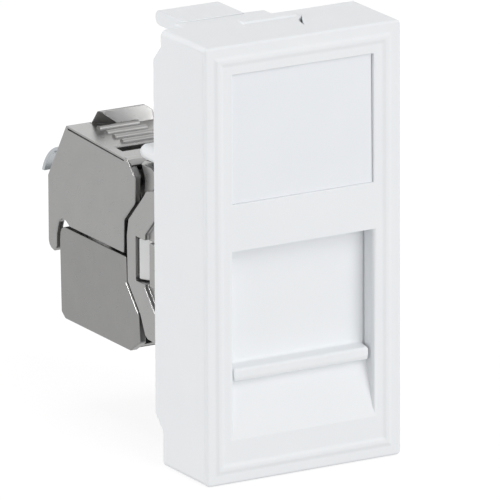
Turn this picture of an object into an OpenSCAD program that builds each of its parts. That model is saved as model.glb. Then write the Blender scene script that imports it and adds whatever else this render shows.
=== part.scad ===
// Data outlet insert: a white front module with a label field and a sliding
// dust shutter, and behind it a shielded jack whose two rear jaws swing open
// to take the cable. X runs to the right, Y to the back, Z up, in millimetres.
// The origin is the centre of the module's front, level with the bead's crest.

/* [Front module] */
// Width of the module across X
module_w = 22.5; // [21:0.5:30]
// Height of the module along Z
module_h = 45; // [44:0.5:60]
// Depth of the module's top and bottom walls behind the front plane
module_d = 8.7; // [8:0.1:12]
// Thickness of the module's outer walls
wall_t = 1.3; // [0.9:0.1:1.6]
// Radius of the upright front edges
side_edge_r = 0.35; // [0.2:0.05:1]
// Radius of the front edges along the top and the bottom
top_edge_r = 0.3; // [0.2:0.05:0.9]
// Radius of the edges that run back from the front corners
corner_edge_r = 0.6; // [0.2:0.1:1]
// Depth of the front panel's back face
panel_back = 1.95; // [1.8:0.05:2.4]
// Width of the bead round the front panel
bead_w = 1; // [0.6:0.05:1.2]
// Height of the bead above the front panel
bead_h = 0.12; // [0.05:0.01:0.2]
// Distance of the bead's centre line from the module's outline
bead_inset = 1.64; // [1.5:0.02:2]

/* [Side skirts] */
// Depth of the side walls over their middle stretch
skirt_d = 10.3; // [9.5:0.1:12]
// Height of the skirt's upper end above the centre
skirt_top = 20.9; // [15:0.1:21.5]
// Depth of the skirt's lower end below the centre
skirt_bottom = 19; // [12:0.1:21.5]
// Length of the sloping ends of a skirt
skirt_slope = 1.7; // [0.5:0.1:3]

/* [Snap arms] */
// Width of a snap arm
arm_w = 6.8; // [4:0.1:7.5]
// Distance of a snap arm's centre from the module's centre line
arm_x = 4.4; // [4:0.1:6]
// Reach of a snap arm behind the front plane
arm_reach = 15.8; // [12:0.1:18]
// Thickness of a snap arm
arm_t = 1.55; // [1.2:0.05:2]
// Rise of a snap arm above the module's top face
arm_lift = 0.1; // [0.05:0.05:0.5]
// Overlap along Y of a snap arm and the lip that carries it
lip_d = 0.3; // [0.2:0.1:1]

/* [Release ramp] */
// Width of the ramp on the top face
ramp_w = 6.1; // [4:0.1:8]
// Height of the ramp's crest
ramp_h = 0.22; // [0.1:0.02:0.5]
// Place of the crest behind the front plane
ramp_crest = 6.5; // [6:0.1:7]
// Length of the ramp behind the crest
ramp_run = 2; // [1:0.1:2.2]
// Length of the slanting slot beside the ramp
ramp_hole = 3.2; // [2:0.1:4]

/* [Label field] */
// Width of the label pocket
label_w = 16.1; // [10:0.1:16.5]
// Distance of the label pocket's upper end from the module's top face
label_drop = 3.1; // [2.8:0.1:5]
// Height of the label pocket
label_h = 13.2; // [8:0.1:13.5]
// Depth of the label's face behind the panel at its upper end
label_sink = 0.34; // [0.2:0.02:0.8]
// Depth of the label's face behind the panel at its lower end
label_low = 0.24; // [0.02:0.02:0.4]
// Thickness of the label plate
label_t = 0.55; // [0.3:0.05:0.6]
// Gap beside and above the label plate
label_gap = 0.04; // [0.02:0.01:0.3]
// Gap under the label plate, where it rests on the pocket's lower end
label_rest = 0.005; // [0.005:0.005:0.1]

/* [Shutter] */
// Width of the window in front of the shutter
window_w = 16; // [13:0.1:16.4]
// Radius of the window's upright front edges
window_edge_r = 0.45; // [0.2:0.05:0.5]
// Upper end of the window above the centre
window_top = 1.4; // [0.5:0.1:3]
// Lower end of the window below the centre, where the finger slope starts
window_bottom = 12.1; // [11.5:0.1:13]
// Length of the finger slope below the window
slope_h = 5.95; // [3:0.05:7]
// Depth of the finger slope at its upper end, behind the front plane
slope_sink = 1.62; // [0.8:0.02:1.7]
// Thickness of the shutter plate
shutter_t = 1; // [0.8:0.1:1.2]
// Overlap of the shutter plate behind the window's edges
shutter_lap = 1; // [0.5:0.1:1.2]
// Height of the grip ridge's front face
ridge_h = 0.95; // [0.5:0.05:1.2]
// Rise of the ridge's sloping top
ridge_slope = 0.25; // [0.1:0.05:0.6]
// Height of the ridge's slanting lower edge
ridge_edge = 0.4; // [0.2:0.05:0.45]
// Drop of the ridge in front of the finger slope's upper end
ridge_drop = 0.15; // [0.05:0.05:0.3]
// Depth of the ridge's front face as a share of the finger slope's depth
ridge_share = 0.4; // [0.3:0.05:0.6]
// Travel of the shutter
shutter_travel = 11.3; // [8:0.1:11.4]

/* [Jack] */
// Width of the jack across its jaws and cheeks
jack_w = 15.5; // [15:0.1:16.5]
// Width of the jack's nose inside the module
nose_w = 14.5; // [14:0.1:14.8]
// Height of the jack's centre line relative to the module's centre
jack_z = -4.5; // [-6:0.1:-4]
// Height of the jack's nose
nose_h = 16.1; // [15:0.1:17]
// Depth of the jack's back wall behind the front plane
jack_back = 16.6; // [16:0.1:18]
// Thickness of the walls above and below the jack's chamber
deck_t = 1.2; // [0.8:0.1:1.6]
// Thickness of the cheeks beside the chamber
cheek_t = 1.65; // [1.4:0.05:1.9]
// Reach of the cheeks behind the back wall
cheek_reach = 5.5; // [5:0.1:5.6]
// Width of the plug port
port_w = 11.9; // [11.5:0.1:12.2]
// Height of the plug port
port_h = 6.9; // [6.6:0.1:7.2]
// Height of the port's ceiling above the jack's centre line
port_rise = 3; // [2.8:0.1:3.4]
// Height of the slot for the plug's latch under the port
port_slot_h = 1.7; // [1:0.1:2]
// Width of the slot for the plug's latch
port_slot_w = 6.2; // [4:0.1:7]
// Radius of the carrier's arms above the jack
carrier_arm_r = 0.8; // [0.6:0.05:0.9]

/* [Jaws] */
// Reach of the upper jaw behind the jack's back wall
jaw_reach = 21.7; // [21:0.1:24]
// Height of the upper jaw above the seam at its rear
upper_h = 10.7; // [10.5:0.1:12]
// Height of the lower jaw below the seam
lower_h = 9.8; // [9.7:0.1:11]
// Thickness of the jaws' side plates
plate_t = 0.8; // [0.6:0.05:1]
// Thickness of the jaws' top, bottom and end walls
jaw_wall = 1; // [0.8:0.1:1.2]
// Gap between the two jaws along their seam
seam_gap = 0.25; // [0.15:0.05:0.5]
// Length along Y of the upper jaw's sloping rear
rear_run = 3.9; // [2.5:0.1:5]
// Height of the upper jaw's sloping rear
rear_drop = 6.1; // [4:0.1:7]
// Width of the tongues that overlap the lower jaw's rear
tongue_w = 1.6; // [1.5:0.05:1.9]
// Reach of the tongues below the seam
tongue_drop = 3.2; // [2.6:0.1:4]
// Gap between the tongues and the lower jaw's rear edge
tongue_gap = 0.75; // [0.6:0.05:1]
// Radius of the jaws' hinge barrels
barrel_r = 2.15; // [2:0.05:2.2]
// Radius of the hinge ears on the jack
ear_r = 1.4; // [1.2:0.05:1.5]
// Thickness of the hinge ears
ear_t = 0.9; // [0.7:0.05:1]
// Radius of the hinge pins
pin_r = 0.75; // [0.5:0.05:0.9]
// Running clearance round a hinge pin
pin_clear = 0.05; // [0.02:0.01:0.1]
// Radius of the cable entry at the rear
cable_r = 3.4; // [2.5:0.1:3.6]
// Number of grip ribs on the upper jaw
rib_n = 4; // [2:1:4]
// Distance from one grip rib to the next
rib_pitch = 1.6; // [1.3:0.05:1.6]
// Radius of a grip rib
rib_r = 0.42; // [0.3:0.02:0.5]
// Length of a grip rib
rib_l = 4.6; // [3:0.1:5]
// Height of the stop behind the ribs
stop_h = 1.65; // [1:0.05:2]
// Thickness of the cable clamp's sheet
clamp_t = 0.45; // [0.3:0.05:0.5]
// Radius of the cable clamp's curved tabs
clamp_r = 4.9; // [4.4:0.05:5.4]
// Width of a clamp tab
clamp_w = 3; // [2:0.1:4]

/* [Contacts] */
// Number of contacts
contact_n = 8; // [4:2:8]
// Distance from one spring contact to the next
contact_pitch = 1.02; // [1:0.01:1.27]
// Thickness of a spring contact
contact_t = 0.45; // [0.3:0.05:0.5]
// Width of a spring contact
contact_w = 0.4; // [0.3:0.05:0.5]
// Distance from one terminal blade to the next
blade_pitch = 2.5; // [2:0.1:2.6]
// Height of a terminal blade
blade_h = 1.6; // [1:0.1:2]
// Thickness of a terminal blade
blade_t = 0.4; // [0.3:0.05:0.6]
// Thickness of the circuit board
board_t = 1.2; // [0.8:0.1:1.6]
// Height of the terminal block
block_h = 5.2; // [4.4:0.1:5.4]

/* [Hidden] */
$fn = 48;

// Overshoot of a cutting shape past the face that it cuts
over = 0.5;
// Running gap between a part that moves and its guide
run_gap = 0.12;
// Gap between two parts that move past each other
move_gap = 0.25;
// Fitting gap between two parts that stay together
fit_gap = 0.15;

// Front module
face_y = bead_h;
module_top = module_h / 2;
module_side = module_w / 2;
cavity_x = module_side - wall_t;
cavity_z = module_top - wall_t;
label_top = module_top - label_drop;
label_bottom = label_top - label_h;
lip_lap = 1;
lip_end = 1.45;

// Shutter and its guide
shutter_front = panel_back + run_gap;
shutter_back = shutter_front + shutter_t;
shutter_half = window_w / 2 + shutter_lap;
shutter_top = window_top + shutter_lap;
ridge_front = slope_sink * ridge_share;
ridge_lean = ridge_edge / 3;
ridge_root = -window_bottom + fit_gap;
ridge_low = -window_bottom - ridge_drop;
ridge_crest = ridge_low + ridge_edge + ridge_h;
shutter_low = -window_bottom - shutter_lap / 2;
rail_x = shutter_half + run_gap;
rail_top = shutter_top + shutter_travel;
rail_front = shutter_back + run_gap;

// Carrier behind the shutter
rail_l = 2.4;
rail_lap = 0.9;
carrier_front = shutter_back + rail_l;
carrier_t = 1.8;
carrier_back = carrier_front + carrier_t;
carrier_tip = 3.75;
carrier_rise = 11.1;
carrier_lap = 0.35;

// Jack: sizes across X
jack_side = jack_w / 2;
plate_in = jack_side - plate_t;
ear_out = plate_in - fit_gap;
ear_in = ear_out - ear_t;
barrel_half = ear_in - fit_gap;
cheek_in = jack_side - cheek_t;
port_side = port_w / 2 + fit_gap;

// Jack: depths and heights from the back wall and the centre line
nose_gap = 0.6;
nose_front = shutter_back + nose_gap - jack_back;
nose_half = nose_h / 2;
chamber_half = nose_half - deck_t;
port_back = -board_t;
port_low = port_rise - port_h;
insert_h = 1.7;
insert_lead = 1.2;
contact_lead = 2;
contact_stop = 4;
contact_dip = 1.9;
contact_clear = 0.13;
contact_slot_end = 3;
spring_t = 0.2;
spring_l = 8;
spring_h = 2;
spring_lead = 1.5;
spring_rise = 1.5;
frame_back = 3.4;
seat_front = carrier_back - jack_back;
seat_w = 0.8;
shoulder_in = 4.7;
shoulder_h = 10.05;
shoulder_r = 2.2;

// Hinge axes of the jaws as [Y, Z] from the back wall and the centre line
axis_shift = 0.4;
upper_axis_z = 8;
lower_axis_z = 7.4;
upper_axis = [cheek_reach + axis_shift, upper_axis_z];
lower_axis = [cheek_reach, -lower_axis_z];
band_in = ear_r + move_gap;

// Seam and walls of the jaws
half_seam = seam_gap / 2;
rear_top = jaw_reach - rear_run;
tongue_in = jaw_reach - tongue_w;
lower_reach = tongue_in - tongue_gap;
end_inset = 0.1;
end_out = lower_reach - end_inset;
end_in = end_out - jaw_wall;
end_top = -tongue_drop - move_gap;
floor_in = -lower_h + jaw_wall;
top_rise = 0.05;
slot_w = 1.45;
slot_lap = 0.9;
slot_front = upper_axis[0] + barrel_r;
slot_back = slot_front + slot_w;
slot_half = barrel_half + slot_lap;
rib_in = 1.6;
rib_back = 2.45;
stop_in = 1.95;
stop_right = 1.3;
stop_back = 1.9;

// Terminal block, its lugs in the cheeks and the wire holders round it
rear_room = 1.9;
cable_room = 2.8;
barrel_room = 1.35;
holder_front = slot_front + barrel_room;
holder_back = end_in - rear_room;
block_back = holder_back - cable_room;
block_half = 5.2;
block_top = block_h / 2;
flange_t = 0.6;
window_y = 0.9;
window_l = 2.85;
window_z = 0.2;
window_half = 2.3;
lug_back = 3.5;
lug_sink = 0.3;
lug_lead = 1.3;
lug_front = window_y + fit_gap;
lug_out = jack_side - lug_sink;
blade_lead = 1;
blade_end = 0.4;
blade_clear = 0.3;
blade_front = holder_front + blade_lead;
blade_back = block_back - blade_end;

// Cable clamp on the sloping rear of the upper jaw
slope_l = sqrt(rear_run * rear_run + rear_drop * rear_drop);
slope_dir = [rear_run, -rear_drop] / slope_l;
slope_out = [rear_drop, rear_run] / slope_l;
clamp_foot = 3.9;
clamp_head = 1.8;
clamp_lap = 0.4;
clamp_out = plate_in + clamp_lap;
rivet_x = 2.5;
rivet_r = 0.5;
rivet_h = 0.35;

// Height of the upper jaw's top face at a depth behind the back wall
function upper_top(y) = upper_h - top_rise * (rear_top - y);

// Place on the sloping rear, as a run along the slope and a rise off it
function on_slope(run, rise) = [rear_top, upper_h] + run * slope_dir + rise * slope_out;

// Outline given in fractions of a size along Y and a size along Z
function stretch(outline, unit) = [for (p = outline) [p[0] * unit[0], p[1] * unit[1]]];

// Place along X of one of n copies
function spread(i, n, pitch) = (i - (n - 1) / 2) * pitch;

// Places a flat outline, drawn as [Y, Z], and gives it a width along X
module across(x_low, x_high) {
  translate([x_low, 0, 0])
    rotate([90, 0, 90])
      linear_extrude(x_high - x_low) children();
}

// The same outline on both sides of the centre plane
module both_sides(x_in, x_out) {
  across(x_in, x_out) children();
  across(-x_out, -x_in) children();
}

// Cylinder along X on an axis given as [Y, Z]
module bar_x(axis, r, x_low, x_high) {
  translate([x_low, axis[0], axis[1]])
    rotate([0, 90, 0])
      cylinder(r = r, h = x_high - x_low);
}

// Box between two corners
module block(low, high) {
  translate(low) cube(high - low);
}

// Rectangle whose two corners at y = 0 are rounded
module front_rounded(w, d, r) {
  translate([-w / 2, r]) square([w, d - r]);
  translate([-w / 2 + r, 0]) square([w - 2 * r, d]);
  for (side = [-1, 1]) translate([side * (w / 2 - r), r]) circle(r);
}

// Rectangle with four rounded corners, centred
module all_rounded(w, h, r) {
  square([w - 2 * r, h], center = true);
  square([w, h - 2 * r], center = true);
  for (sx = [-1, 1], sz = [-1, 1])
    translate([sx * (w / 2 - r), sz * (h / 2 - r)]) circle(r);
}

// Module block with its front and corner edges rounded
module module_block() {
  depth = module_d - face_y;
  translate([0, face_y, 0])
    intersection() {
      translate([0, 0, -module_top])
        linear_extrude(module_h) front_rounded(module_w, depth, side_edge_r);
      translate([-module_side, 0, 0])
        rotate([90, 0, 90]) linear_extrude(module_w)
          rotate(-90) front_rounded(module_h, depth, top_edge_r);
      translate([0, depth, 0])
        rotate([90, 0, 0]) linear_extrude(depth)
          all_rounded(module_w, module_h, corner_edge_r);
    }
}

// Block whose outline changes evenly from a foot to a crest, given as half sizes [X, Z]
module frustum(foot, crest, foot_y, crest_y) {
  intersection() {
    across(-module_w, module_w)
      polygon([[foot_y, -foot[1]], [crest_y, -crest[1]], [crest_y, crest[1]], [foot_y, foot[1]]]);
    translate([0, 0, -module_h])
      linear_extrude(2 * module_h)
        polygon([[-foot[0], foot_y], [-crest[0], crest_y], [crest[0], crest_y], [foot[0], foot_y]]);
  }
}

// Half size of the module's outline, drawn in by an inset
function inset_half(inset) = [module_side - inset, module_top - inset];

// Bead round the front panel, rooted as deep as it stands proud
module bead_ring() {
  root = bead_w * 5 / 6;
  crest = bead_w / 6;
  difference() {
    frustum(inset_half(bead_inset - root), inset_half(bead_inset - crest), 2 * face_y, 0);
    frustum(inset_half(bead_inset + root), inset_half(bead_inset + crest), 2 * face_y, 0);
  }
}

// Profile of a side skirt behind the module's depth
module skirt_outline() {
  polygon([
    [module_d - wall_t, skirt_top], [module_d, skirt_top],
    [skirt_d, skirt_top - skirt_slope], [skirt_d, -skirt_bottom + skirt_slope],
    [module_d, -skirt_bottom], [module_d - wall_t, -skirt_bottom]
  ]);
}

// Snap arm on the top wall, left of the centre line
module snap_arm() {
  top = module_top + arm_lift;
  nose = arm_t / 2;
  left = -arm_x - arm_w / 2;
  right = -arm_x + arm_w / 2;
  block([left, skirt_d - lip_d, top - arm_t], [right, arm_reach - nose, top]);
  bar_x([arm_reach - nose, top - nose], nose, left, right);
  // lip behind the top wall that the arm springs from
  block([left - lip_lap, module_d - wall_t, module_top - wall_t], [lip_end, skirt_d, module_top]);
}

// Ramp on the top face
module release_ramp() {
  across(-ramp_w / 2, ramp_w / 2)
    polygon([
      [ramp_crest - ramp_h, module_top - ramp_h], [ramp_crest - ramp_h, module_top],
      [ramp_crest, module_top + ramp_h], [ramp_crest + ramp_run, module_top],
      [ramp_crest + ramp_run, module_top - ramp_h]
    ]);
}

// Slanting slot beside the ramp, through the top wall
module ramp_side_hole() {
  translate([ramp_w / 2 + ramp_hole * 0.16, ramp_crest, module_top - wall_t - over])
    linear_extrude(wall_t + ramp_h + 2 * over)
      polygon(ramp_hole * [[0, 0], [-0.34, -0.38], [-0.48, -0.96]]);
}

// Depth of the label's sloping face at a height
function label_y(z) = face_y + label_low + (label_sink - label_low) * (z - label_bottom) / label_h;

// Space that the label plate fills, with a gap below and above
module label_outline(below, above) {
  low = label_bottom + below;
  high = label_top - above;
  polygon([
    [label_y(low), low], [label_y(high), high],
    [label_y(high) + label_t, high], [label_y(low) + label_t, low]
  ]);
}

// Guide beside the shutter with a stop under it, on the right side
module shutter_guide() {
  stop_l = 2;
  root = panel_back - run_gap;
  block([rail_x, root, shutter_low], [cavity_x + run_gap, rail_front, rail_top]);
  block([rail_x - stop_l, root, shutter_low - run_gap - wall_t],
        [rail_x, shutter_back, shutter_low - run_gap]);
}

// Pocket of the label plate, open to the front
module label_cut() {
  across(-label_w / 2, label_w / 2) {
    label_outline(0, 0);
    polygon([[-over, label_bottom], [label_y(label_bottom), label_bottom],
             [label_y(label_top), label_top], [-over, label_top]]);
  }
}

// Window seen from above, with its upright front edges rounded
module window_plan() {
  half = window_w / 2;
  r = window_edge_r;
  translate([-half, -over]) square([window_w, panel_back + 2 * over]);
  for (side = [-1, 1])
    difference() {
      translate([side * half - r, -over]) square([2 * r, face_y + r + over]);
      translate([side * (half + r), face_y + r]) circle(r);
    }
}

// Window in front of the shutter and the finger slope below it
module window_cut() {
  low = -window_bottom - slope_h;
  intersection() {
    translate([0, 0, low - over]) linear_extrude(window_top - low + 2 * over) window_plan();
    across(-window_w, window_w)
      polygon([[-over, window_top], [panel_back + over, window_top],
               [panel_back + over, -window_bottom], [slope_sink, -window_bottom],
               [face_y, low], [-over, low]]);
  }
}

module front_cover() {
  color("#e9ebee")
    difference() {
      union() {
        difference() {
          module_block();
          block([-cavity_x, panel_back, -cavity_z], [cavity_x, module_d + over, cavity_z]);
        }
        bead_ring();
        both_sides(cavity_x, module_side) skirt_outline();
        snap_arm();
        rotate([0, 180, 0]) snap_arm();
        release_ramp();
        shutter_guide();
        mirror([1, 0, 0]) shutter_guide();
      }
      ramp_side_hole();
      label_cut();
      window_cut();
    }
}

module label_plate() {
  color("#f0f1f3")
    across(-label_w / 2 + label_gap, label_w / 2 - label_gap) label_outline(label_rest, label_gap);
}

module shutter() {
  ridge_half = window_w / 2 - move_gap;
  root = shutter_front + run_gap;
  color("#ebedf0") {
    block([-shutter_half, shutter_front, shutter_low], [shutter_half, shutter_back, shutter_top]);
    across(-ridge_half, ridge_half)
      polygon([
        [root, ridge_root], [slope_sink - fit_gap, ridge_root],
        [ridge_front + ridge_lean, ridge_low], [ridge_front, ridge_low + ridge_edge],
        [ridge_front, ridge_crest], [shutter_front, ridge_crest + ridge_slope],
        [root, ridge_crest + ridge_slope]
      ]);
  }
}

// Arm of the carrier over the right shoulder of the jack, with a round end
module carrier_arm() {
  r = carrier_arm_r;
  root = carrier_back - fit_gap;
  tip = jack_back + carrier_tip;
  axis_z = jack_z + carrier_rise;
  x_in = barrel_half - carrier_lap;
  x_out = plate_in - r;
  block([x_in, root, axis_z - r], [x_out, tip, axis_z + r]);
  for (x = [x_in, x_out]) {
    translate([x, root, axis_z])
      rotate([-90, 0, 0]) cylinder(r = r, h = tip - root);
    translate([x, tip, axis_z]) sphere(r);
  }
  bar_x([tip, axis_z], r, x_in, x_out);
}

module jack_carrier() {
  half = cavity_x - fit_gap;
  top = cavity_z - fit_gap;
  rail_in = shutter_half - rail_lap;
  hole = [nose_w / 2 + fit_gap, nose_half + fit_gap];
  color("#eceef0") {
    difference() {
      union() {
        block([-half, carrier_front, -top], [half, carrier_back, top]);
        // rails that keep the shutter against the panel
        for (side = [0, 1])
          mirror([side, 0, 0])
            block([rail_in, rail_front, shutter_low], [half, carrier_front + fit_gap, rail_top]);
      }
      block([-hole[0], shutter_back, jack_z - hole[1]],
            [hole[0], carrier_back + over, jack_z + hole[1]]);
    }
    carrier_arm();
    mirror([1, 0, 0]) carrier_arm();
  }
}

// Moves a piece of the jack from its own centre line to its place
module at_jack() {
  translate([0, jack_back, jack_z]) children();
}

// Outline of the cheek that fills the waist between the jaws
module cheek_outline() {
  polygon(stretch([
    [-0.291, 1.056], [0.273, 0.957], [0.418, 0.845], [0.936, 0.491], [1, 0.273],
    [0.982, -0.323], [0.518, -0.677], [0.345, -0.919], [0.255, -0.957], [-0.291, -0.957]
  ], [cheek_reach, nose_half]));
}

// Lower level of the cheek towards the module
module cheek_recess_outline() {
  front = -cheek_reach * 0.364;
  back = cheek_reach * 0.327;
  high = window_z + window_half;
  low = window_z - window_half;
  polygon([[front, nose_half * 0.857], [back, nose_half * 0.385], [back, high], [front, high]]);
  polygon([[front, low], [back, low], [back, -nose_half * 0.298], [front, -nose_half * 0.807]]);
}

// Domed shoulders in front of the upper hinge
module shoulders() {
  middle = (shoulder_in + ear_out) / 2;
  intersection() {
    both_sides(shoulder_in, ear_out)
      polygon(stretch([
        [-0.182, 0.87], [0.71, 0.87], [0.84, 1.12], [0.84, 1.3], [0.53, 1.3], [0.385, 1.23],
        [0.24, 1.168], [0.16, 1.093], [-0.182, 1.03]
      ], [cheek_reach, nose_half]));
    union()
      for (x = [-middle, middle])
        translate([x, -cheek_reach, shoulder_h - shoulder_r])
          rotate([-90, 0, 0]) cylinder(r = shoulder_r, h = 2 * cheek_reach);
  }
}

// Hinge ear with its neck on the cheek, above the centre line for up = 1
module ear_outline(axis, up) {
  translate(axis) circle(ear_r);
  polygon([axis + ear_r * [-0.9, -0.35 * up], cheek_reach * [0.582, 0.891 * up],
           cheek_reach * [0.909, 0.509 * up], axis + ear_r * [0.7, -0.7 * up]]);
}

// Solid of the jack before the port, the chamber and the hinges are cut
module jack_solid() {
  block([-nose_w / 2, nose_front, -nose_half], [nose_w / 2, 0, nose_half]);
  block([-nose_w / 2 - seat_w, seat_front, -nose_half - seat_w],
        [nose_w / 2 + seat_w, seat_front + seat_w, nose_half + seat_w]);
  block([-ear_out, -over, -nose_half], [ear_out, frame_back, nose_half]);
  both_sides(cheek_in, jack_side) cheek_outline();
  shoulders();
}

module jack_body() {
  color("#a6a6a6") at_jack() {
    difference() {
      jack_solid();
      // plug port and the slot for the plug's latch
      block([-port_side, nose_front - over, port_low],
            [port_side, port_back + over, port_rise + insert_h]);
      block([-port_slot_w / 2, nose_front - over, port_low - port_slot_h],
            [port_slot_w / 2, port_back + over, port_low + over]);
      // chamber for the board and the terminal block
      block([-cheek_in, port_back, -chamber_half], [cheek_in, jaw_reach, chamber_half]);
      both_sides(cheek_in - over, jack_side + over)
        translate([window_y, window_z - window_half]) square([window_l, 2 * window_half]);
      both_sides(jack_side - cheek_t / 4, jack_side + over) cheek_recess_outline();
      // room for the hinge barrels and for the roof of the open jaw
      for (axis = [upper_axis, lower_axis])
        bar_x(axis, barrel_r + 1.5 * move_gap, -ear_out - over, ear_out + over / 4);
    }
    difference() {
      union() {
        both_sides(ear_in, ear_out) ear_outline(upper_axis, 1);
        both_sides(ear_in, ear_out) ear_outline(lower_axis, -1);
      }
      for (axis = [upper_axis, lower_axis]) bar_x(axis, pin_r, -jack_side, jack_side);
    }
  }
}

module port_insert() {
  half = port_w / 2;
  slot_half_w = contact_w / 2 + contact_clear;
  color("#2b2d30") at_jack()
    difference() {
      block([-half, nose_front + insert_lead, port_rise], [half, port_back, port_rise + insert_h]);
      for (i = [0 : contact_n - 1])
        translate([spread(i, contact_n, contact_pitch), 0, 0])
          block([-slot_half_w, nose_front + contact_lead, port_rise - over],
                [slot_half_w, port_back - contact_slot_end, port_rise + insert_h / 2]);
    }
}

// One spring contact: a strip held in the insert that dips into the port
module spring_contact() {
  root = [nose_front + contact_lead, port_rise + insert_h / 2];
  tip = [port_back - contact_stop, port_rise - contact_dip];
  across(-contact_w / 2, contact_w / 2)
    polygon([root, root - [0, contact_t], tip - [0, contact_t], tip]);
}

module spring_contacts() {
  color("#d9b25a") at_jack()
    for (i = [0 : contact_n - 1])
      translate([spread(i, contact_n, contact_pitch), 0, 0]) spring_contact();
}

module shield_springs() {
  color("#c9cbcd") at_jack()
    both_sides(port_side - spring_t, port_side)
      translate([nose_front + spring_lead, port_low + spring_rise]) square([spring_l, spring_h]);
}

module circuit_board() {
  half = cheek_in - fit_gap;
  high = chamber_half - fit_gap;
  color("#2f6b3a") at_jack() block([-half, port_back, -high], [half, 0, high]);
}

module terminal_block() {
  half = cheek_in - fit_gap;
  high = chamber_half - fit_gap;
  color("#f2f2f0") at_jack() {
    block([-block_half, 0, -block_top], [block_half, block_back, block_top]);
    block([-half, 0, -high], [half, flange_t, high]);
    // lugs that snap into the windows of the cheeks, highest at the rear
    translate([0, 0, window_z - window_half + fit_gap])
      linear_extrude(2 * (window_half - fit_gap))
        polygon([[-lug_out, lug_back], [lug_out, lug_back], [lug_out - lug_lead, lug_front],
                 [-lug_out + lug_lead, lug_front]]);
  }
}

// Row of blades on the terminal block's upper face
module blade_row() {
  count = contact_n / 2;
  for (i = [0 : count - 1])
    translate([spread(i, count, blade_pitch), 0, 0])
      block([-blade_t / 2, blade_front, block_top], [blade_t / 2, blade_back, block_top + blade_h]);
}

module upper_blades() {
  color("#cfcfd2") at_jack() blade_row();
}

module lower_blades() {
  color("#cfcfd2") at_jack() mirror([0, 0, 1]) blade_row();
}

module upper_hinge_pin() {
  color("#8f9194") at_jack() bar_x(upper_axis, pin_r, -ear_out, ear_out);
}

module lower_hinge_pin() {
  color("#8f9194") at_jack() bar_x(lower_axis, pin_r, -ear_out, ear_out);
}

// Side plate of the upper jaw with the tongue at its rear
module upper_plate_outline() {
  hinge = upper_axis;
  brow = hinge[0] - barrel_r / 3;
  polygon([
    [rear_top, upper_h], [brow, upper_top(brow)], hinge + barrel_r * [-1.02, 0.28],
    hinge + barrel_r * [-0.95, -1.02], hinge + barrel_r * [0.09, -2.05],
    [hinge[0] + 2 * fit_gap, half_seam], [lower_reach - tongue_w * 1.3, half_seam],
    [lower_reach - tongue_w * 0.8, tongue_w * 0.36], [lower_reach - tongue_w * 0.28, tongue_w * 0.38],
    [tongue_in - tongue_w * 0.38, tongue_w * 0.16], [tongue_in - tongue_w * 0.22, -tongue_w * 0.22],
    [tongue_in - tongue_w * 0.06, -tongue_w * 0.75], [tongue_in, -tongue_drop + tongue_w * 0.3],
    [tongue_in + tongue_w / 4, -tongue_drop], [jaw_reach - tongue_w * 0.4, -tongue_drop + tongue_w * 0.1],
    [jaw_reach - tongue_w * 0.12, -tongue_drop + tongue_w * 0.32],
    [jaw_reach, -tongue_drop + tongue_w * 0.62], [jaw_reach, upper_h - rear_drop]
  ]);
}

// Side plate of the lower jaw
module lower_plate_outline() {
  hinge = lower_axis;
  polygon([
    [hinge[0] + move_gap, -half_seam], hinge + barrel_r * [0.05, 2.14], hinge + barrel_r * [-1.05, 0.91],
    hinge + barrel_r * [-1.19, -0.51], [hinge[0] - barrel_r / 4, -lower_h],
    [lower_reach - jaw_wall, -lower_h], [lower_reach - jaw_wall / 5, -lower_h + jaw_wall * 0.6],
    [lower_reach, -tongue_drop / 2], [lower_reach - jaw_wall * 0.1, -jaw_wall * 0.9],
    [lower_reach - jaw_wall * 0.4, -jaw_wall * 0.35], [lower_reach - jaw_wall * 0.9, -half_seam]
  ]);
}

// Curved band over a hinge ear, drawn above its axis
module band_outline() {
  reach = 2 * barrel_r;
  intersection() {
    difference() {
      circle(barrel_r);
      circle(band_in);
    }
    polygon([[0, 0], reach * [cos(130), sin(130)], reach * [0, 1], reach * [cos(60), sin(60)]]);
  }
}

// Barrel of a hinge with the bands beside it, drawn above its axis
module hinge_barrel(axis, up) {
  bar_x(axis, barrel_r, -barrel_half, barrel_half);
  both_sides(barrel_half, jack_side - fit_gap)
    translate(axis) mirror([0, up > 0 ? 0 : 1]) band_outline();
}

// Grip ribs along X on the upper jaw's top face
module grip_ribs() {
  rear_rib = rear_top - rib_back;
  left = -plate_in + rib_in;
  for (i = [0 : rib_n - 1])
    bar_x([rear_rib - i * rib_pitch, upper_top(rear_rib - i * rib_pitch) - rib_r / 4],
          rib_r, left, left + rib_l);
}

// Stop behind the ribs, with slanting ends
module rib_stop() {
  left = -plate_in + stop_in;
  crest_y = rear_top - stop_back;
  crest_z = upper_top(crest_y) + stop_h;
  foot_y = crest_y + stop_h * 0.94;
  size = 4 * stop_h;
  difference() {
    across(left - stop_h, stop_right)
      polygon([[crest_y - stop_h / 4, upper_top(crest_y) - jaw_wall / 2],
               [crest_y - stop_h * 0.03, crest_z - stop_h * 0.06],
               [crest_y + stop_h * 0.06, crest_z], [foot_y, upper_top(rear_top) - jaw_wall / 10],
               [foot_y, upper_top(rear_top) - jaw_wall / 2]]);
    translate([left, crest_y, crest_z])
      rotate([0, -35, 51]) translate([-2 * size, -size, -size]) cube(2 * size);
    translate([stop_right - stop_h * 0.6, crest_y, crest_z])
      rotate([0, 37, 0]) translate([-size / 2, -size, 0]) cube(2 * size);
  }
}

// Fine joint line between a side plate and the top wall of the upper jaw
module edge_groove() {
  depth = 0.25;
  low = 0.34;
  high = 0.18;
  front = upper_axis[0];
  rear = rear_top - high * 2;
  both_sides(jack_side - depth, jack_side + over)
    polygon([[front, upper_top(front) - low], [rear, upper_top(rear) - low],
             [rear, upper_top(rear) - high], [front, upper_top(front) - high]]);
}

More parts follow.
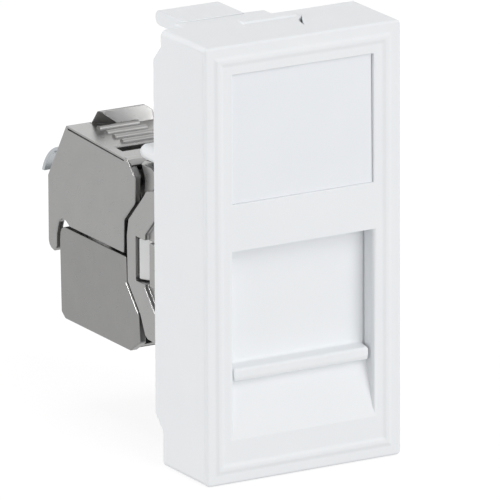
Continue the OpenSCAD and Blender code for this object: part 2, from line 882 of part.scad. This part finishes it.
module upper_jaw() {
  hinge = upper_axis;
  root = hinge[0] + barrel_r * 0.8;
  color("#a9a9aa") at_jack()
    difference() {
      union() {
        both_sides(plate_in, jack_side) upper_plate_outline();
        // top wall and sloping rear wall
        across(-plate_in - fit_gap, plate_in + fit_gap) {
          polygon([[hinge[0], hinge[1] + band_in], [hinge[0], upper_top(hinge[0])],
                   [rear_top, upper_h], [rear_top, upper_h - jaw_wall],
                   [root, upper_top(root) - jaw_wall]]);
          polygon([[rear_top, upper_h], [jaw_reach, upper_h - rear_drop], [jaw_reach, half_seam],
                   [jaw_reach - jaw_wall, half_seam], [jaw_reach - jaw_wall, upper_h - rear_drop],
                   [rear_top - jaw_wall / 2, upper_h - jaw_wall]]);
        }
        hinge_barrel(hinge, 1);
        grip_ribs();
        rib_stop();
      }
      bar_x(hinge, pin_r + pin_clear, -plate_in, plate_in);
      // slot in front of the ribs
      block([-slot_half, slot_front, hinge[1]], [slot_half, slot_back, upper_h + over]);
      edge_groove();
      cable_bore(rear_top - over);
    }
}

// Bore for the cable along the jack's centre line, from a depth to the rear
module cable_bore(from) {
  translate([0, from, 0]) rotate([-90, 0, 0]) cylinder(r = cable_r, h = jaw_reach - from + over);
}

// Slots for the terminal blades, above the centre line
module blade_slots() {
  count = contact_n / 2;
  half = blade_t / 2 + blade_clear;
  for (i = [0 : count - 1])
    translate([spread(i, count, blade_pitch), 0, 0])
      block([-half, holder_front - over, block_top],
            [half, blade_back + 2 * move_gap, block_top + blade_h + 2 * move_gap]);
}

module upper_wire_holder() {
  half = plate_in - fit_gap;
  low = block_top + move_gap;
  color("#f0f0ee") at_jack()
    difference() {
      across(-half, half)
        polygon([[holder_front, low], [holder_back, low],
                 [holder_back, upper_top(holder_back) - jaw_wall],
                 [holder_front, upper_top(holder_front) - jaw_wall]]);
      cable_bore(holder_front - over);
      blade_slots();
    }
}

module lower_jaw() {
  hinge = lower_axis;
  color("#a4a4a5") at_jack()
    difference() {
      union() {
        both_sides(plate_in, jack_side) lower_plate_outline();
        // bottom wall and rear wall
        across(-plate_in - fit_gap, plate_in + fit_gap)
          polygon([[hinge[0], -lower_h], [lower_reach - jaw_wall, -lower_h],
                   [lower_reach - jaw_wall / 5, -lower_h + jaw_wall * 0.6],
                   [end_out, end_top], [end_in, end_top], [end_in, floor_in],
                   [hinge[0] + barrel_r * 0.56, floor_in], [hinge[0], hinge[1] - band_in]]);
        across(-plate_in + move_gap, plate_in - move_gap)
          polygon([[end_out, end_top], [end_out, -half_seam],
                   [end_in, -half_seam], [end_in, end_top]]);
        hinge_barrel(hinge, -1);
      }
      bar_x(hinge, pin_r + pin_clear, -plate_in, plate_in);
      cable_bore(rear_top - over);
    }
}

module lower_wire_holder() {
  half = plate_in - fit_gap;
  color("#f0f0ee") at_jack()
    difference() {
      block([-half, holder_front, floor_in], [half, holder_back, -block_top - move_gap]);
      cable_bore(holder_front - over);
      mirror([0, 0, 1]) blade_slots();
    }
}

// Section of a clamp tab that springs off the sloping rear
module clamp_tab_outline() {
  centre = on_slope(clamp_foot - clamp_t, clamp_t / 2) + clamp_r * [cos(-100), sin(-100)];
  reach = 2 * clamp_r;
  difference() {
    translate(centre) circle(clamp_r);
    translate(centre) circle(clamp_r - clamp_t);
    translate(centre - [reach, reach]) square([2 * reach, reach + clamp_r * sin(18)]);
    polygon([on_slope(-reach, 0), on_slope(slope_l, 0), [jaw_reach, -reach],
             [jaw_reach - reach, -reach], on_slope(-reach, -reach)]);
  }
}

// Sheet clamp across the upper jaw's rear, with a curved tab at each end
module cable_clamp() {
  color("#b4b5b7") at_jack() {
    across(-clamp_out, clamp_out)
      polygon([on_slope(clamp_head, 0), on_slope(clamp_foot, 0),
               on_slope(clamp_foot, clamp_t), on_slope(clamp_head, clamp_t)]);
    both_sides(clamp_out - clamp_w, clamp_out) clamp_tab_outline();
  }
}

module clamp_rivets() {
  seat = on_slope((clamp_foot + clamp_head) / 2, clamp_t);
  color("#9a9c9f") at_jack()
    for (side = [-1, 1])
      translate([side * rivet_x, seat[0], seat[1]])
        rotate([-atan2(slope_out[0], slope_out[1]), 0, 0]) cylinder(r = rivet_r, h = rivet_h);
}

front_cover();
label_plate();
shutter();
jack_carrier();
jack_body();
port_insert();
spring_contacts();
shield_springs();
circuit_board();
terminal_block();
upper_blades();
lower_blades();
upper_hinge_pin();
lower_hinge_pin();
upper_jaw();
upper_wire_holder();
lower_jaw();
lower_wire_holder();
cable_clamp();
clamp_rivets();
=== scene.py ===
import math

import bmesh
import bpy
from mathutils import Matrix, Vector
from mathutils.bvhtree import BVHTree
from mathutils.geometry import intersect_point_line


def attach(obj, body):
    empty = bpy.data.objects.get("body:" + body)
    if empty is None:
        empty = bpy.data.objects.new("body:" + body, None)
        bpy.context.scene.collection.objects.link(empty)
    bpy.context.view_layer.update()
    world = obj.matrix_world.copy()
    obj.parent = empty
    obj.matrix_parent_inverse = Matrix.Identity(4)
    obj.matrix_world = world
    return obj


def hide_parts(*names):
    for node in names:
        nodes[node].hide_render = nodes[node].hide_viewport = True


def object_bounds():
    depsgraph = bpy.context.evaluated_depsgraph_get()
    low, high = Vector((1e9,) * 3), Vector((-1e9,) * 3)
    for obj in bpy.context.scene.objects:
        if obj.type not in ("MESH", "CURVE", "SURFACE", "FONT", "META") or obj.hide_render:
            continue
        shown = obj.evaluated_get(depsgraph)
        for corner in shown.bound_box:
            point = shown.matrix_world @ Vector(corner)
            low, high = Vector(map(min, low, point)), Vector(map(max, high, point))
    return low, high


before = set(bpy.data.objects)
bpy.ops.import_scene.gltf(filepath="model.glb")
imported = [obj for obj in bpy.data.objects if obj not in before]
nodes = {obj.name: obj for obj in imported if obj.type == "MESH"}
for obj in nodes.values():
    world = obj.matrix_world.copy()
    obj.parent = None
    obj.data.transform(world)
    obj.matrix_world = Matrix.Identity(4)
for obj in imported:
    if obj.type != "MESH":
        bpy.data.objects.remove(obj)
cad_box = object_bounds()
MM = 0.001

# Edge rounding: lengths in metres, turns between faces or edges in radians
WELD_GAP = 0.002 * MM
FLAT_TURN = math.radians(0.4)
ROUNDED_TURN = math.radians(12.0)
SMOOTH_TURN = math.radians(50.0)
CORNER_TURN_LOW = math.radians(40.0)
CORNER_TURN_HIGH = math.radians(150.0)
ROUND_STEPS = 3

# Edge rounding: shares of a face's free width, of a side beside a corner and of the full rounding
FACE_SHARE = 0.3
SIDE_SHARE = 0.45
TIGHT_SHARE = 0.3
SHORT_SHARE = 4.0
STRAY_SHARE = 0.5

# Camera at the photo's angle, with the origin's place before it in millimetres
YAW = math.radians(30.05)
PITCH = math.radians(16.05)
ROLL = math.radians(-0.25)
LENS = 792.0
SENSOR = 36.0
ORIGIN_RIGHT = 5.38
ORIGIN_UP = -0.425
ORIGIN_AHEAD = 1088.1

# Floor below the part, in metres
FLOOR_SIZE = 6.0
FLOOR_GAP = 0.05 * MM


# Materials

def principled(name, roughness, metallic=0.0, specular=0.5):
    material = bpy.data.materials.new(name)
    material.use_nodes = True
    shader = material.node_tree.nodes["Principled BSDF"]
    shader.inputs["Roughness"].default_value = roughness
    shader.inputs["Metallic"].default_value = metallic
    shader.inputs["Specular IOR Level"].default_value = specular
    return material, material.node_tree, shader


def noise(tree, scale, detail=3.0):
    coords = tree.nodes.new("ShaderNodeTexCoord")
    texture = tree.nodes.new("ShaderNodeTexNoise")
    texture.inputs["Scale"].default_value = scale
    texture.inputs["Detail"].default_value = detail
    tree.links.new(coords.outputs["Object"], texture.inputs["Vector"])
    return texture.outputs["Fac"]


def around(tree, value, middle, spread):
    """Turns a noise into a value that wanders about a middle one."""
    span = tree.nodes.new("ShaderNodeMapRange")
    span.inputs["From Min"].default_value = 0.3
    span.inputs["From Max"].default_value = 0.7
    span.inputs["To Min"].default_value = middle - spread
    span.inputs["To Max"].default_value = middle + spread
    tree.links.new(value, span.inputs["Value"])
    return span.outputs["Result"]


def two_tone(tree, value, first, second):
    ramp = tree.nodes.new("ShaderNodeValToRGB")
    ramp.color_ramp.elements[0].position = 0.35
    ramp.color_ramp.elements[0].color = (*first, 1.0)
    ramp.color_ramp.elements[1].position = 0.65
    ramp.color_ramp.elements[1].color = (*second, 1.0)
    tree.links.new(value, ramp.inputs["Fac"])
    return ramp.outputs["Color"]


def grain(tree, shader, value, strength, depth):
    bump = tree.nodes.new("ShaderNodeBump")
    bump.inputs["Strength"].default_value = strength
    bump.inputs["Distance"].default_value = depth
    tree.links.new(value, bump.inputs["Height"])
    tree.links.new(bump.outputs["Normal"], shader.inputs["Normal"])


def plastic(name, first, second, roughness):
    material, tree, shader = principled(name, roughness, specular=0.3)
    tint = two_tone(tree, noise(tree, scale=160.0), first, second)
    gloss = around(tree, noise(tree, scale=900.0), roughness, spread=0.04)
    tree.links.new(tint, shader.inputs["Base Color"])
    tree.links.new(gloss, shader.inputs["Roughness"])
    grain(tree, shader, noise(tree, scale=6000.0, detail=2.0), strength=0.03, depth=0.02 * MM)
    return material


def metal(name, first, second, roughness, grain_strength=0.03):
    material, tree, shader = principled(name, roughness, metallic=1.0)
    tint = two_tone(tree, noise(tree, scale=420.0, detail=5.0), first, second)
    gloss = around(tree, noise(tree, scale=1500.0), roughness, spread=0.03)
    tree.links.new(tint, shader.inputs["Base Color"])
    tree.links.new(gloss, shader.inputs["Roughness"])
    grain(tree, shader, noise(tree, scale=5200.0), strength=grain_strength, depth=0.01 * MM)
    return material


WHITE = plastic("satin_white_plastic", (0.838, 0.855, 0.875), (0.848, 0.864, 0.882), 0.55)
LABEL = plastic("label_plastic", (0.822, 0.842, 0.874), (0.832, 0.851, 0.881), 0.50)
CAST = metal("cast_metal", (0.302, 0.300, 0.297), (0.312, 0.310, 0.306), 0.30, 0.005)
CAST_BODY = metal("cast_metal_body", (0.325, 0.323, 0.320), (0.335, 0.333, 0.329), 0.30, 0.005)
# Darker copy of the same cast metal for the lower jaw: painted shade for the dimmer reflections its
# lower plates get, not a different finish
CAST_PAINTED_SHADE = metal("cast_metal_painted_shade", (0.246, 0.244, 0.241), (0.256, 0.254, 0.250), 0.30, 0.005)
SHEET = metal("sheet_metal", (0.42, 0.44, 0.46), (0.46, 0.48, 0.50), 0.24)
STEEL = metal("pin_steel", (0.42, 0.42, 0.43), (0.47, 0.47, 0.48), 0.28)
GOLD = metal("contact_gold", (0.80, 0.58, 0.26), (0.84, 0.63, 0.30), 0.22)
DARK = plastic("dark_insert_plastic", (0.022, 0.024, 0.027), (0.030, 0.032, 0.035), 0.45)
BOARD = plastic("board_laminate", (0.020, 0.120, 0.045), (0.026, 0.150, 0.056), 0.38)
HOLDER = plastic("holder_plastic", (0.770, 0.775, 0.770), (0.790, 0.795, 0.790), 0.46)

# Node, body, material slot, material and edge rounding in millimetres
PARTS = (
    ("front_cover", "housing", "white_plastic", WHITE, 0.12),
    ("label_plate", "housing", "label_plastic", LABEL, 0.03),
    ("shutter", "shutter", "white_plastic", WHITE, 0.3),
    ("jack_carrier", "housing", "white_plastic", WHITE, 0.12),
    ("jack_body", "housing", "cast_metal", CAST_BODY, 0.14),
    ("upper_jaw", "upper_jaw", "cast_metal", CAST, 0.18),
    # The lower jaw gets the darker cast metal, which is painted shade
    ("lower_jaw", "lower_jaw", "cast_metal", CAST_PAINTED_SHADE, 0.18),
    ("cable_clamp", "upper_jaw", "sheet_metal", SHEET, 0.08),
    ("clamp_rivets", "upper_jaw", "pin_steel", STEEL, 0.12),
    ("terminal_block", "housing", "holder_plastic", HOLDER, 0.15),
    ("upper_wire_holder", "upper_jaw", "holder_plastic", HOLDER, 0.15),
    ("lower_wire_holder", "lower_jaw", "holder_plastic", HOLDER, 0.15),
    ("port_insert", "housing", "insert_plastic", DARK, 0.06),
    ("spring_contacts", "housing", "contact_gold", GOLD, 0.05),
    ("shield_springs", "housing", "sheet_metal", SHEET, 0.04),
    ("circuit_board", "housing", "board_laminate", BOARD, 0.05),
    ("upper_blades", "housing", "sheet_metal", SHEET, 0.06),
    ("lower_blades", "housing", "sheet_metal", SHEET, 0.06),
    ("upper_hinge_pin", "housing", "pin_steel", STEEL, 0.12),
    ("lower_hinge_pin", "housing", "pin_steel", STEEL, 0.12),
)


# Meshes with rounded edges

def segment_gap(a, b, c, d):
    """Shortest way between two segments in one plane that don't cross."""
    gaps = []
    for point, start, end in ((a, c, d), (b, c, d), (c, a, b), (d, a, b)):
        _, share = intersect_point_line(point, start, end)
        nearest = start.lerp(end, min(1.0, max(0.0, share)))
        gaps.append((point - nearest).length)
    return min(gaps)


def room_beside(edge, face):
    """Largest rounding that an edge leaves on a face without reaching the next edge."""
    room = math.inf
    a, b = edge.verts[0].co, edge.verts[1].co
    for other in face.edges:
        if other == edge:
            continue
        shared = set(edge.verts) & set(other.verts)
        if not shared:
            room = min(room, FACE_SHARE * segment_gap(a, b, other.verts[0].co, other.verts[1].co))
            continue
        corner = shared.pop()
        one = (edge.other_vert(corner).co - corner.co).normalized()
        two = (other.other_vert(corner).co - corner.co).normalized()
        turn = one.angle(two, 0.0)
        if CORNER_TURN_LOW < turn < CORNER_TURN_HIGH:
            room = min(room, SIDE_SHARE * other.calc_length() * math.sin(turn))
    return room


def rounding_share(edge, width):
    """Share of the full rounding that an edge takes, 0 where it stays as it is."""
    if len(edge.link_faces) != 2 or edge.calc_face_angle() < ROUNDED_TURN:
        return 0.0
    room = min(room_beside(edge, face) for face in edge.link_faces)
    if room < TIGHT_SHARE * width and edge.calc_length() < SHORT_SHARE * width:
        return 0.0
    return min(1.0, room / width)


def pull_back(mesh, source, limit):
    """Puts the corners that a rounding has thrown out of the solid back on its surface."""
    tree = BVHTree.FromPolygons([vertex.co for vertex in source.vertices],
                                [tuple(polygon.vertices) for polygon in source.polygons])
    for vertex in mesh.vertices:
        spot, normal, _, gap = tree.find_nearest(vertex.co)
        if gap > limit and (vertex.co - spot).dot(normal) > 0.0:
            vertex.co = spot


def smooth_normals(mesh):
    """Gives every corner the normal of the large faces it meets, so that flat faces stay flat."""
    mesh.update()
    limit = math.cos(SMOOTH_TURN)
    normals = [polygon.normal.copy() for polygon in mesh.polygons]
    weights = [polygon.area ** 2 for polygon in mesh.polygons]
    meeting = [[] for _ in mesh.vertices]
    for polygon in mesh.polygons:
        for vertex in polygon.vertices:
            meeting[vertex].append(polygon.index)
    corners = [None] * len(mesh.loops)
    for polygon in mesh.polygons:
        own = normals[polygon.index]
        for loop in polygon.loop_indices:
            total = Vector((0.0, 0.0, 0.0))
            for index in meeting[mesh.loops[loop].vertex_index]:
                if own.dot(normals[index]) > limit:
                    total += normals[index] * weights[index]
            corners[loop] = total.normalized() if total.length > 0.0 else own
    mesh.polygons.foreach_set("use_smooth", [True] * len(mesh.polygons))
    mesh.normals_split_custom_set(corners)


def rounded_mesh(source, name, width):
    """Copy of a node's mesh with its edges rounded as far as each edge has room for."""
    work = bmesh.new()
    work.from_mesh(source.data)
    bmesh.ops.remove_doubles(work, verts=work.verts, dist=WELD_GAP)
    bmesh.ops.dissolve_limit(work, angle_limit=FLAT_TURN, verts=work.verts, edges=work.edges)
    weight = work.edges.layers.float.new("bevel_weight_edge")
    for edge in work.edges:
        edge[weight] = rounding_share(edge, width)
    mesh = bpy.data.meshes.new(name)
    work.to_mesh(mesh)
    work.free()
    piece = bpy.data.objects.new(name, mesh)
    piece.matrix_world = source.matrix_world.copy()
    bpy.context.scene.collection.objects.link(piece)
    bevel = piece.modifiers.new("edge", "BEVEL")
    bevel.width = width
    bevel.segments = ROUND_STEPS
    bevel.limit_method = "WEIGHT"
    bevel.use_clamp_overlap = False
    bpy.context.view_layer.update()
    final = bpy.data.meshes.new_from_object(piece.evaluated_get(bpy.context.evaluated_depsgraph_get()))
    piece.modifiers.clear()
    piece.data = final
    pull_back(final, source.data, STRAY_SHARE * width)
    smooth_normals(final)
    return piece


def dress(item, material):
    item.data.materials.clear()
    item.data.materials.append(material)


for node, body, slot, material, width in PARTS:
    piece = rounded_mesh(nodes[node], node + ".look", width * MM)
    dress(piece, material)
    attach(piece, body)
    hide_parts(node)

# Camera
ahead = Vector((math.sin(YAW) * math.cos(PITCH), math.cos(YAW) * math.cos(PITCH), -math.sin(PITCH)))
level = Vector((math.cos(YAW), -math.sin(YAW), 0.0))
upward = level.cross(ahead)
right = math.cos(ROLL) * level + math.sin(ROLL) * upward
top = -math.sin(ROLL) * level + math.cos(ROLL) * upward
camera_data = bpy.data.cameras.new("camera")
camera_data.lens = LENS
camera_data.sensor_width = SENSOR
camera_data.clip_start = 0.01
camera_data.clip_end = 100.0
camera = bpy.data.objects.new("camera", camera_data)
bpy.context.scene.collection.objects.link(camera)
eye = -(ORIGIN_RIGHT * right + ORIGIN_UP * top + ORIGIN_AHEAD * ahead) * MM
turn = Matrix((right, top, -ahead)).transposed().to_4x4()
camera.matrix_world = Matrix.Translation(eye) @ turn
bpy.context.scene.camera = camera


def shown(tree, hidden_level, shown_level):
    """A level for the camera and for reflections, and another one as a source of light."""
    rays = tree.nodes.new("ShaderNodeLightPath")
    value = rays.outputs["Is Camera Ray"]
    for ray in ("Is Glossy Ray", "Is Transmission Ray"):
        either = tree.nodes.new("ShaderNodeMath")
        either.operation = "MAXIMUM"
        tree.links.new(value, either.inputs[0])
        tree.links.new(rays.outputs[ray], either.inputs[1])
        value = either.outputs["Value"]
    span = tree.nodes.new("ShaderNodeMapRange")
    span.inputs["To Min"].default_value = hidden_level
    span.inputs["To Max"].default_value = shown_level
    tree.links.new(value, span.inputs["Value"])
    return span.outputs["Result"]


# Floor that stays white to the camera and keeps a soft shadow
bpy.ops.mesh.primitive_plane_add(size=FLOOR_SIZE, location=(0.0, 0.0, cad_box[0][2] - FLOOR_GAP))
floor = bpy.context.object
floor.name = "floor"
floor_material, tree, shader = principled("pale_floor", 0.9, specular=0.0)
shader.inputs["Emission Color"].default_value = (1.0, 1.0, 1.0, 1.0)
floor_tint = two_tone(tree, noise(tree, scale=2.0), (0.21, 0.21, 0.21), (0.22, 0.22, 0.22))
floor_glow = shown(tree, hidden_level=0.3, shown_level=0.86)
tree.links.new(floor_tint, shader.inputs["Base Color"])
tree.links.new(floor_glow, shader.inputs["Emission Strength"])
dress(floor, floor_material)


# Lamps: suns, and a soft box one metre away

def hang(name, data, toward):
    """Puts a lamp into the scene, shining on the part from a direction."""
    lamp = bpy.data.objects.new(name, data)
    bpy.context.scene.collection.objects.link(lamp)
    lamp.location = Vector(toward).normalized()
    lamp.rotation_euler = (-Vector(toward)).to_track_quat("-Z", "Y").to_euler()


def soft_sun(name, toward, strength, spread):
    data = bpy.data.lights.new(name, "SUN")
    data.energy = strength
    data.angle = math.radians(spread)
    hang(name, data, toward)


def soft_box(name, toward, power, wide, tall):
    data = bpy.data.lights.new(name, "AREA")
    data.shape = "RECTANGLE"
    data.size = wide
    data.size_y = tall
    data.energy = power
    hang(name, data, toward)


soft_box("key", toward=(0.40, -0.87, 0.04), power=5.75, wide=0.95, tall=0.40)
soft_sun("side", toward=(-0.94, 0.30, 0.17), strength=1.40, spread=14.0)
soft_sun("fill", toward=(-0.95, -0.25, 0.10), strength=0.23, spread=20.0)
soft_sun("over", toward=(0.20, -0.74, 0.64), strength=0.85, spread=44.0)
soft_sun("top", toward=(0.05, 0.35, 1.0), strength=0.58, spread=30.0)
soft_sun("rim", toward=(0.48, 0.83, 0.28), strength=0.27, spread=60.0)

# White surroundings: full strength to the camera and to reflections, less as fill light
world = bpy.data.worlds.new("studio")
bpy.context.scene.world = world
world.use_nodes = True
background = world.node_tree.nodes["Background"]
background.inputs["Color"].default_value = (1.0, 1.0, 1.0, 1.0)
glow = shown(world.node_tree, hidden_level=0.36, shown_level=1.0)
world.node_tree.links.new(glow, background.inputs["Strength"])

bpy.context.scene.view_settings.view_transform = "Standard"
